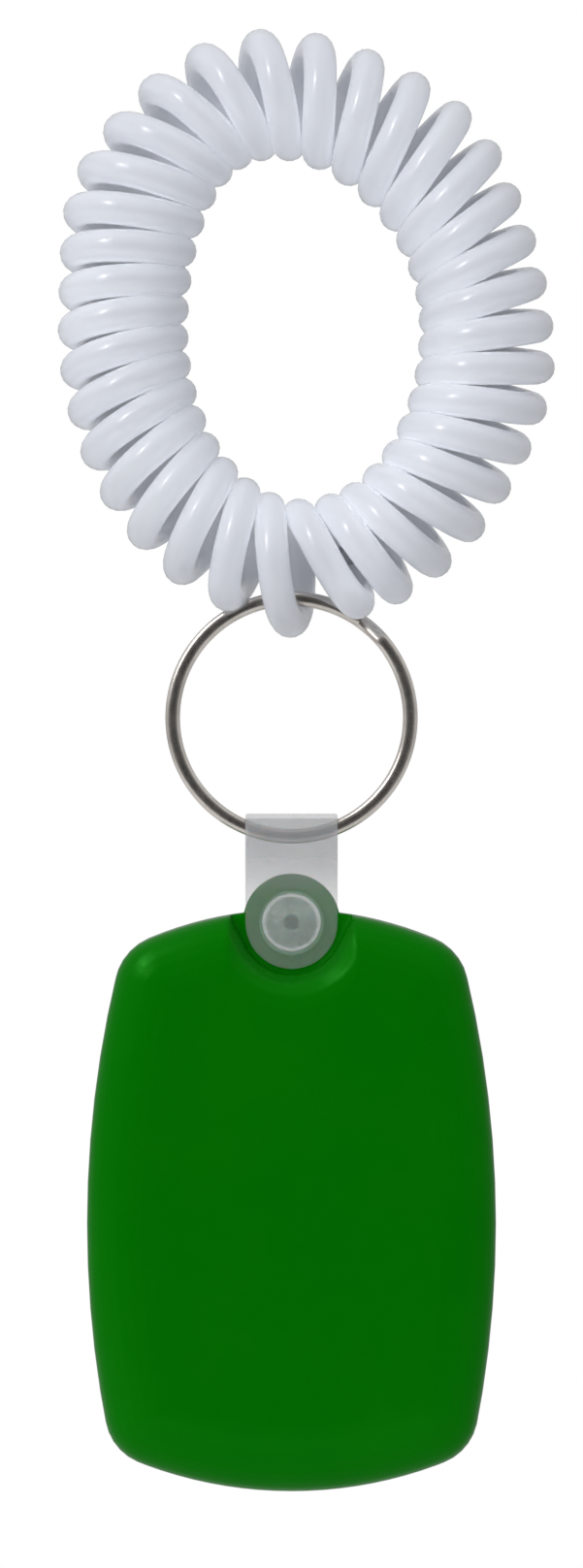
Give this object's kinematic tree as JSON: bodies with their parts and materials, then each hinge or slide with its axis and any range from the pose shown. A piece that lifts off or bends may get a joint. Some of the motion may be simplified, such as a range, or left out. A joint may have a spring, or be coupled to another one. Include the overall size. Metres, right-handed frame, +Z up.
{
  "type": "dog training clicker",
  "caption": "Slim rounded hand clicker with a thumb button, hung by a clear snap strap and a split ring from a springy spiral wrist coil.",
  "frame": {"origin": "inside top of the wrist coil, where it hangs from a wrist or a hook", "axes": "+Z up as it hangs, +X to the right seen from the plain front, -Y out of the plain front panel"},
  "size_m": [0.0503, 0.0137, 0.1503],
  "materials": {
    "white_cord": "smooth glossy white vinyl cord, faintly blue",
    "white_sleeve": "smooth white plastic sleeve",
    "nickel_wire": "bright nickel plate on flat spring wire",
    "clear_vinyl": "frosted clear flexible vinyl",
    "snap_plastic": "clear moulded snap",
    "green_shell": "deep green glossy moulded shell",
    "green_button": "deep green glossy moulded button",
    "spring_steel": "rolled spring-steel strip with a pressed dimple",
    "black_nylon": "moulded black nylon bar",
    "screw_steel": "zinc-plated self-tapping screw"
  },
  "bodies": {
    "coil": {"wrist_coil": "white_cord", "coil_splice_sleeve": "white_sleeve"},
    "ring": {"split_ring": "nickel_wire"},
    "strap": {"strap": "clear_vinyl", "snap_stud": "snap_plastic", "snap_rear_cap": "snap_plastic"},
    "flap": {"strap_flap": "clear_vinyl", "snap_socket": "snap_plastic", "snap_front_cap": "snap_plastic"},
    "housing": {"front_shell": "green_shell", "rear_shell": "green_shell", "strip_retainer": "black_nylon", "retainer_screws": "screw_steel", "shell_screws": "screw_steel"},
    "button": {"thumb_button": "green_button"},
    "strip": {"click_strip": "spring_steel"}
  },
  "joints": [
    {"name": "ring_swing", "type": "hinge", "parent": "coil", "child": "ring", "pos_m": [0, 0, -0.04525], "axis": [1, 0, 0], "range_deg": [-60, 60]},
    {"name": "strap_swing", "type": "hinge", "parent": "ring", "child": "strap", "pos_m": [0, 0, -0.06975], "axis": [1, 0, 0], "range_deg": [-90, 90]},
    {"name": "flap_open", "type": "hinge", "parent": "strap", "child": "flap", "pos_m": [0, -0.0021, -0.06975], "axis": [-1, 0, 0], "range_deg": [0, 110]},
    {"name": "tag_swivel", "type": "hinge", "parent": "strap", "child": "housing", "pos_m": [0, 0, -0.0786], "axis": [0, 1, 0], "range_deg": [-25, 25]},
    {"name": "button_press", "type": "slide", "parent": "housing", "child": "button", "axis": [0, -1, 0], "range_m": [0, 0.0015], "stiffness_N_per_m": 1500},
    {"name": "strip_flex", "type": "hinge", "parent": "housing", "child": "strip", "pos_m": [0, 0.00005, -0.0975], "axis": [-1, 0, 0], "range_deg": [0, 4.7]}
  ],
  "couplings": [
    {"joint": "strip_flex", "follows": "button_press", "rad_per_m": 54.054}
  ]
}
